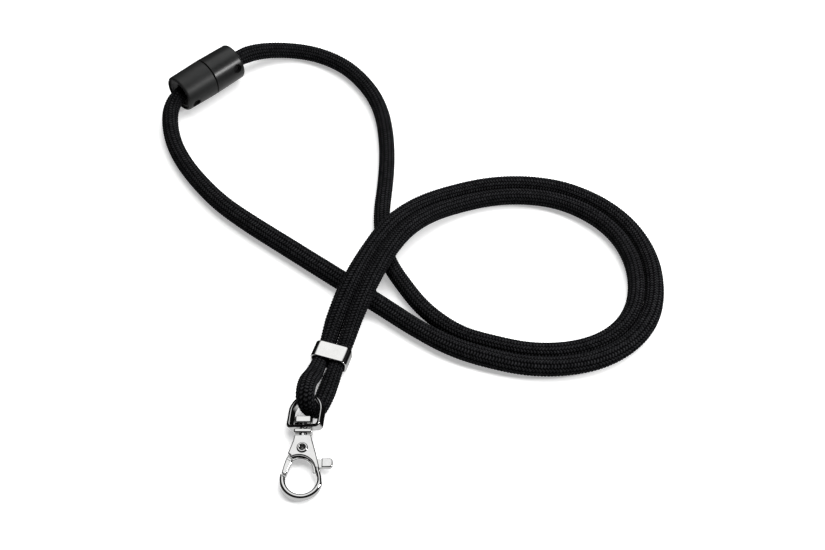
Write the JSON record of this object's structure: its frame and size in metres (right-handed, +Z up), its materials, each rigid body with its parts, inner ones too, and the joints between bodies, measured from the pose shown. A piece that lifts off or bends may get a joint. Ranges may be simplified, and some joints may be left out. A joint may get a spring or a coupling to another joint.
{
  "type": "lanyard",
  "caption": "Round-cord neck lanyard in one long loop, with a pull-apart snap buckle, a crimp sleeve and a swivel trigger hook with a thumb-opened gate.",
  "frame": {"origin": "axis of the hook's eye, on the surface that the lanyard lies on", "axes": "+Y up the hook towards the swivel and the sleeve, +X to the thumb tab's side, +Z up from the surface"},
  "size_m": [0.1693, 0.1904, 0.0137],
  "materials": {
    "cord": "knitted polyester cord, matt with a slight sheen",
    "plated": "bright nickel plate, polished",
    "sleeve": "bright plated sheet",
    "buckle": "moulded, satin",
    "insert": "moulded, matt",
    "steel": "bright drawn steel"
  },
  "bodies": {
    "root": {"cord_a": "cord", "cord_fold": "cord", "cord_b": "cord", "cord_end_b": "cord", "crimp_sleeve": "sleeve", "socket_shell": "buckle", "socket_insert": "insert", "socket_lock_pin": "insert", "snap_ring": "steel"},
    "stud": {"snap_stud": "insert"},
    "plug": {"plug_shell": "buckle", "plug_insert": "insert", "plug_lock_pin": "insert", "stud_retainer": "steel"},
    "bail": {"bail": "plated"},
    "hook": {"hook_body": "plated", "swivel_post": "plated", "swivel_collar": "plated", "gate_rivet": "plated", "gate_spring": "steel"},
    "gate": {"gate_lever": "plated"}
  },
  "joints": [
    {"name": "buckle_release", "type": "slide", "parent": "root", "child": "stud", "axis": [0.729, 0.6845, 0], "range_m": [0, 0.012], "deforming": ["cord_end_b", "snap_ring"]},
    {"name": "buckle_swivel", "type": "hinge", "parent": "stud", "child": "plug", "pos_m": [-0.0413, 0.1635, 0.0069], "axis": [0.729, 0.6845, 0], "continuous": true},
    {"name": "bail_swing", "type": "hinge", "parent": "root", "child": "bail", "pos_m": [0, 0.0255, 0.0032], "axis": [-0.9397, 0.0358, -0.3401], "range_deg": [0, 45], "deforming": ["cord_fold"]},
    {"name": "hook_swivel", "type": "hinge", "parent": "bail", "child": "hook", "pos_m": [0, 0, 0.00206], "axis": [0, 0.9945, 0.1045], "continuous": true},
    {"name": "gate_thumb", "type": "hinge", "parent": "hook", "child": "gate", "pos_m": [0, 0.00995, 0.00311], "axis": [0, -0.1045, 0.9945], "range_deg": [0, 22], "stiffness_Nm_per_rad": 0.02, "springref_deg": -5.73, "deforming": ["gate_spring"]}
  ]
}
